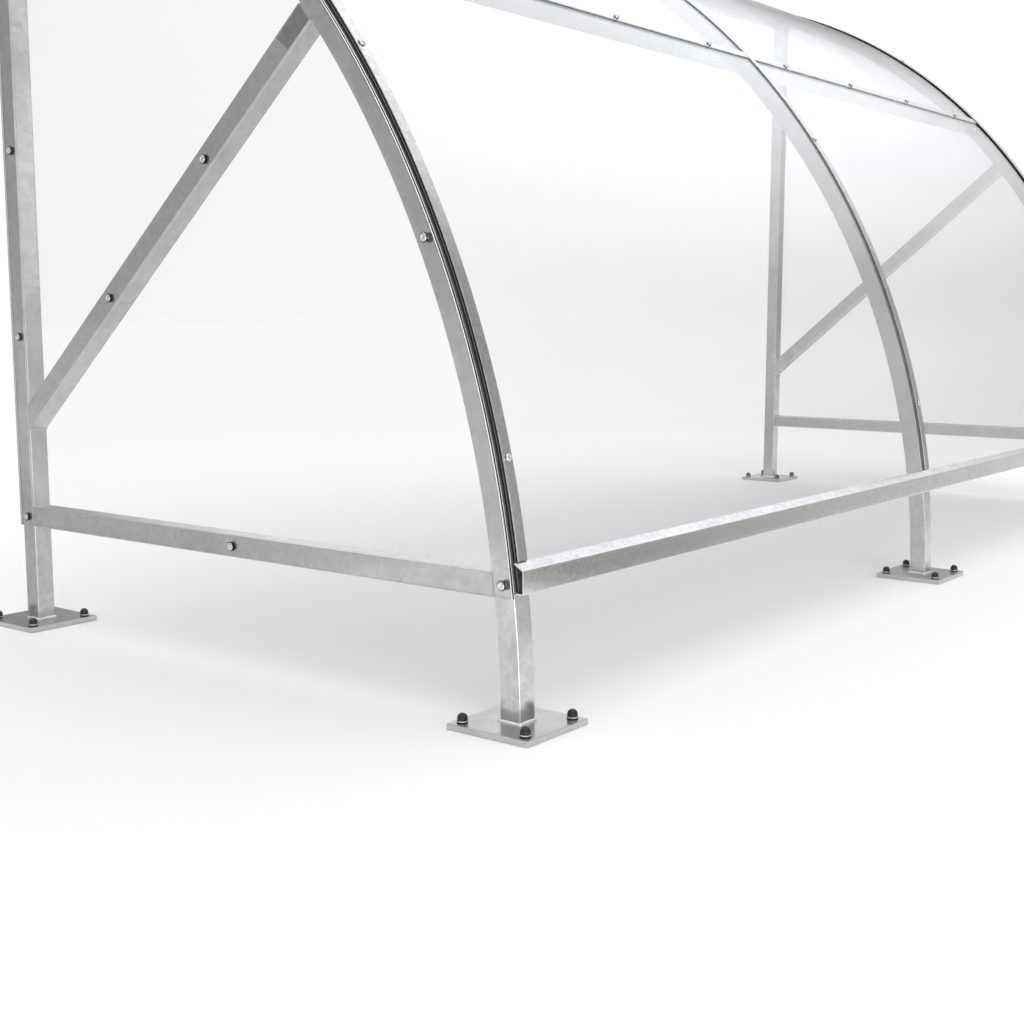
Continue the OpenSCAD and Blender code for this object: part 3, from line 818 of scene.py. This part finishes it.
# ---------------------------------------------------------------- fasteners
def dome_bolt(s, p, axis, side, rad=0.0100, tall=0.0022, seat=0.0007, seat_r=0.0106, spacer=0.0):
    """Round-headed bolt on a black washer. A spacer fills the gap behind a panel."""
    p, a = Vector(p), Vector(axis).normalized()
    e = seat * 0.35
    s.lathe([(0.0, 0.0), (seat_r - e, 0.0), (seat_r, e), (seat_r, seat - e), (seat_r - e, seat), (0.0, seat)], p, a, side, 32, 1)
    h0 = seat
    rim = rad * 0.56
    prof = [(0.0, h0), (rad - 0.0003, h0), (rad, h0 + 0.0003), (rad, h0 + tall * 0.30)]
    for q in range(1, 9):
        t = q / 8 * math.pi / 2
        prof.append((rim + (rad - rim) * math.cos(t), h0 + tall * 0.30 + tall * 0.70 * math.sin(t)))
    # sunk centre with a socket
    dip = tall * 0.45
    prof += [(rad * 0.51, h0 + tall - dip * 0.3), (rad * 0.46, h0 + tall - dip), (rad * 0.31, h0 + tall - dip),
             (rad * 0.28, h0 + tall - dip - tall * 0.12), (rad * 0.26, h0 + tall * 0.2), (0.0, h0 + tall * 0.18)]
    s.lathe(prof, p, a, side, 32, 0)
    if spacer:
        s.lathe([(0.0, -spacer), (0.0042, -spacer), (0.0042, END_SHEET_T - 0.0001), (0.0, END_SHEET_T - 0.0001)], p - a * END_SHEET_T, a, side, 28, 0)


for side, d in SIDES:
    s = Shape()
    x = d * (BAY + HALF + END_GASKET_T + END_SHEET_T)
    spots = [(Y_POST + 0.004, z) for z in (0.312, 0.821, 1.330, 1.839, 2.263)]
    spots += [(Y_FOOT - 0.871, RAIL_Z - 0.001)]
    for k in (0.510, 1.020):
        spots.append((Y_POST + HALF + 0.003 + k * math.cos(BRACE_A), BRACE_Z + k * math.sin(BRACE_A)))
    for a in (7.1, 24.85, 42.6, 60.3):
        spots.append((Y_AXIS + (R + 0.003) * math.cos(math.radians(a)), AXIS_Z + (R + 0.003) * math.sin(math.radians(a))))
    for y, z in spots:
        dome_bolt(s, (x, y, z), (d, 0, 0), (0, math.cos(y * 40), math.sin(y * 40)), rad=0.0097, seat=0.0026, seat_r=0.0116, spacer=END_GASKET_T)
    s.build("panel_bolts_" + side, [BOLT_STEEL, RUBBER], sharp=40, weighted=False)

for side, x in FRAMES:
    s = Shape()
    for a in (13.25, 35.8, 56.3, 74.8):
        t = math.radians(a)
        dome_bolt(s, polar(R_COV_OUT if x else R_SHEET_OUT + 0.004, a, x), (0, math.cos(t), math.sin(t)), (1, 0, 0), rad=0.0088, tall=0.0050, seat=0.0012, seat_r=0.0094)
    s.build("cover_bolts_" + side, [BOLT_STEEL, RUBBER], sharp=40, weighted=False)

for side, d in SIDES:
    s = Shape()
    t = math.radians(JOINT_A)
    for k in range(4):
        dome_bolt(s, polar(R_SHEET_OUT + 0.003, JOINT_A, d * (0.28 + 0.5633 * k)), (0, math.cos(t), math.sin(t)), (1, 0, 0),
                  rad=0.0088, tall=0.0066, seat=0.0016, seat_r=0.0094)
    g = math.radians(A_END)
    up = Vector((0, math.cos(g), math.sin(g)))
    for k in range(5):
        p = Vector((d * (0.06 + 0.5325 * k), Y_AXIS, AXIS_Z)) + up * (R_SHEET_OUT + BENT_T) + Vector((0, -math.sin(g), math.cos(g))) * -0.021
        dome_bolt(s, p, up, (1, 0, 0), rad=0.0066, tall=0.0044, seat=0.0010, seat_r=0.0070)
    s.build("edge_bolts_" + side, [BOLT_STEEL, RUBBER], sharp=40, weighted=False)

# ---------------------------------------------------------------- floor, light, camera
m, nt, out = new_mat("pale_floor")
p = node(nt, "ShaderNodeBsdfPrincipled", {"Roughness": 0.9, "Specular IOR Level": 0.0})
tc = node(nt, "ShaderNodeTexCoord")
nt.links.new(mix_colour(nt, noise(nt, tc.outputs["Object"], 0.6, 3.0), (0.968, 0.956, 0.943), (0.980, 0.968, 0.955)), p.inputs["Base Color"])
fxy = node(nt, "ShaderNodeSeparateXYZ")
nt.links.new(tc.outputs["Object"], fxy.inputs[0])
fx, fy = fxy.outputs["X"], fxy.outputs["Y"]
# well away from the shelter it runs into the white background without an edge
dist = math_node(nt, "SQRT", math_node(nt, "ADD", math_node(nt, "MULTIPLY", fx, fx), math_node(nt, "MULTIPLY", fy, fy)))
cove = node(nt, "ShaderNodeEmission", {"Color": (1, 1, 1, 1), "Strength": 1.0})
wide = node(nt, "ShaderNodeMixShader")
nt.links.new(map_range(nt, dist, 3.6, 6.5, 0.0, 1.0, True), wide.inputs[0])
nt.links.new(p.outputs[0], wide.inputs[1])
nt.links.new(cove.outputs[0], wide.inputs[2])
# for glossy rays the floor is swapped for a glow of set brightness: a painted reflection in the steel, which falls off
# away from the shelter
ex = math_node(nt, "MULTIPLY", fx, 1 / 5.6)
ey = math_node(nt, "MULTIPLY", math_node(nt, "SUBTRACT", fy, 0.4), 1 / 1.55)
away = math_node(nt, "SQRT", math_node(nt, "ADD", math_node(nt, "MULTIPLY", ex, ex), math_node(nt, "MULTIPLY", ey, ey)))
fall = map_range(nt, away, 0.92, 1.02, 0.0, 1.0, True)
fore = map_range(nt, fx, 2.5, 6.0, 0.54, 0.73)
# painted reflection levels behind the shelter: pale, with one darker strip across and dark far out; a bright patch
# towards the camera paints the highlights on the arrises
back = map_range(nt, fy, -0.5, 1.0, 0.0, 1.0, True)
cross = math_node(nt, "MULTIPLY", map_range(nt, fy, 1.74, 1.84, 0.0, 1.0, True), map_range(nt, fy, 2.40, 2.25, 0.0, 1.0, True))
cross = math_node(nt, "MULTIPLY", cross, map_range(nt, fx, 1.05, 0.85, 0.0, 1.0, True))
drop = math_node(nt, "MULTIPLY", cross, map_range(nt, fx, 0.6, -4.2, 0.92, 0.30))
rear = math_node(nt, "SUBTRACT", map_range(nt, fy, 2.3, 2.7, 1.10, 0.84, True), drop)
deep = map_range(nt, fy, 4.6, 6.5, 1.0, 0.24, True)
rear = math_node(nt, "MULTIPLY", rear, deep)
near = math_node(nt, "MULTIPLY", map_range(nt, fx, 2.32, 2.5, 0.0, 1.0, True), map_range(nt, fy, 1.05, 1.25, 0.0, 1.0, True))
level = math_node(nt, "ADD", math_node(nt, "MULTIPLY", rear, back), math_node(nt, "MULTIPLY", fore, math_node(nt, "SUBTRACT", 1.0, back)))
level = math_node(nt, "ADD", level, math_node(nt, "MULTIPLY", near, 1.5))
fall = math_node(nt, "MAXIMUM", fall, map_range(nt, fy, 0.98, 1.15, 0.0, 1.0, True))
# the glow that glossy rays see in place of the floor: painted reflection and painted highlight
far = node(nt, "ShaderNodeEmission", {"Color": (1, 0.995, 0.985, 1)})
nt.links.new(level, far.inputs["Strength"])
lpf = node(nt, "ShaderNodeLightPath")
mixf = node(nt, "ShaderNodeMixShader")
nt.links.new(math_node(nt, "MULTIPLY", lpf.outputs["Is Glossy Ray"], fall), mixf.inputs[0])
nt.links.new(wide.outputs[0], mixf.inputs[1])
nt.links.new(far.outputs[0], mixf.inputs[2])
nt.links.new(mixf.outputs[0], out.inputs["Surface"])
me = bpy.data.meshes.new("floor")
q = 90.0
me.from_pydata([(-q, -q, -0.0004), (q, -q, -0.0004), (q, q, -0.0004), (-q, q, -0.0004)], [], [(0, 1, 2, 3)])
me.materials.append(m)
floor = bpy.data.objects.new("floor", me)
bpy.context.scene.collection.objects.link(floor)

world = bpy.data.worlds.new("studio")
bpy.context.scene.world = world
world.use_nodes = True
nt = world.node_tree
nt.nodes.clear()
out = node(nt, "ShaderNodeOutputWorld")
tc = node(nt, "ShaderNodeTexCoord")
d_vec = tc.outputs["Generated"]
sx = node(nt, "ShaderNodeSeparateXYZ")
nt.links.new(d_vec, sx.inputs[0])


def towards(v):
    n = node(nt, "ShaderNodeVectorMath", operation="DOT_PRODUCT")
    nt.links.new(d_vec, n.inputs[0])
    n.inputs[1].default_value = Vector(v).normalized()
    return n.outputs["Value"]


# a pale wall behind the shelter, darker sides, a bright ceiling and a soft box behind the camera
low = map_range(nt, noise(nt, d_vec, 5.0, 2.0, 0.5), 0.32, 0.68, 0.22, 0.36)
for way, a0, a1, gain in (((-0.76, -0.63, 0.15), 0.955, 0.995, 0.88), ((0.79, -0.61, 0.0), 0.30, 0.90, 0.17),
                          ((0.92, -0.39, 0.06), 0.965, 0.997, 0.42), ((-0.557, 0.831, 0.06), 0.955, 0.992, 1.10),
                          ((-0.96, 0.20, 0.10), 0.90, 0.99, 0.16), ((-0.76, 0.56, 0.28), 0.972, 0.995, 0.06)):
    low = math_node(nt, "ADD", low, map_range(nt, towards(way), a0, a1, 0.0, gain, True))
cloud = map_range(nt, noise(nt, d_vec, 2.3, 3.0, 0.5), 0.3, 0.7, 0.90, 1.14)
lift = map_range(nt, towards((-0.98, -0.17, 0.0)), 0.6, 0.95, 0.0, 0.30, True)
s_up = map_range(nt, math_node(nt, "ADD", sx.outputs["Z"], lift), 0.50, 0.78, 0.0, 1.0, True)
ceiling = math_node(nt, "MULTIPLY", cloud, 1.36)
body = math_node(nt, "ADD", math_node(nt, "MULTIPLY", low, math_node(nt, "SUBTRACT", 1.0, s_up)), math_node(nt, "MULTIPLY", ceiling, s_up))
# the main soft light, dimmer where the clear sheets and the steel mirror it
lit = towards((0.60, 0.77, 0.20))
gloss = node(nt, "ShaderNodeLightPath").outputs["Is Glossy Ray"]
box = math_node(nt, "ADD", math_node(nt, "MULTIPLY", map_range(nt, lit, 0.90, 0.98, 0.0, 4.5, True), math_node(nt, "SUBTRACT", 1.0, gloss)),
                math_node(nt, "MULTIPLY", map_range(nt, lit, 0.955, 0.99, 0.0, 1.6, True), gloss))
total = math_node(nt, "ADD", body, box)
tint = mix_colour(nt, s_up, (1.0, 0.995, 0.985), (0.97, 1.0, 1.035))
bg = node(nt, "ShaderNodeBackground")
nt.links.new(tint, bg.inputs["Color"])
nt.links.new(total, bg.inputs["Strength"])
white = node(nt, "ShaderNodeBackground", {"Color": (1, 1, 1, 1), "Strength": 1.0})
lp = node(nt, "ShaderNodeLightPath")
mx = node(nt, "ShaderNodeMixShader")
nt.links.new(lp.outputs["Is Camera Ray"], mx.inputs[0])
nt.links.new(bg.outputs[0], mx.inputs[1])
nt.links.new(white.outputs[0], mx.inputs[2])
nt.links.new(mx.outputs[0], out.inputs["Surface"])

cam = bpy.data.cameras.new("camera")
cam.sensor_width = 36.0
cam.lens = 50.29
cam.clip_end = 300.0
cam.dof.use_dof = False
camera = bpy.data.objects.new("camera", cam)
bpy.context.scene.collection.objects.link(camera)
yaw, pitch = math.radians(52.33), math.radians(8.0)
camera.location = (4.6368, Y_FOOT + 1.8270, 0.8927)
look = Vector((-math.sin(yaw) * math.cos(pitch), -math.cos(yaw) * math.cos(pitch), -math.sin(pitch)))
camera.rotation_euler = look.to_track_quat("-Z", "Y").to_euler()
bpy.context.scene.camera = camera
bpy.context.scene.view_settings.view_transform = "Standard"
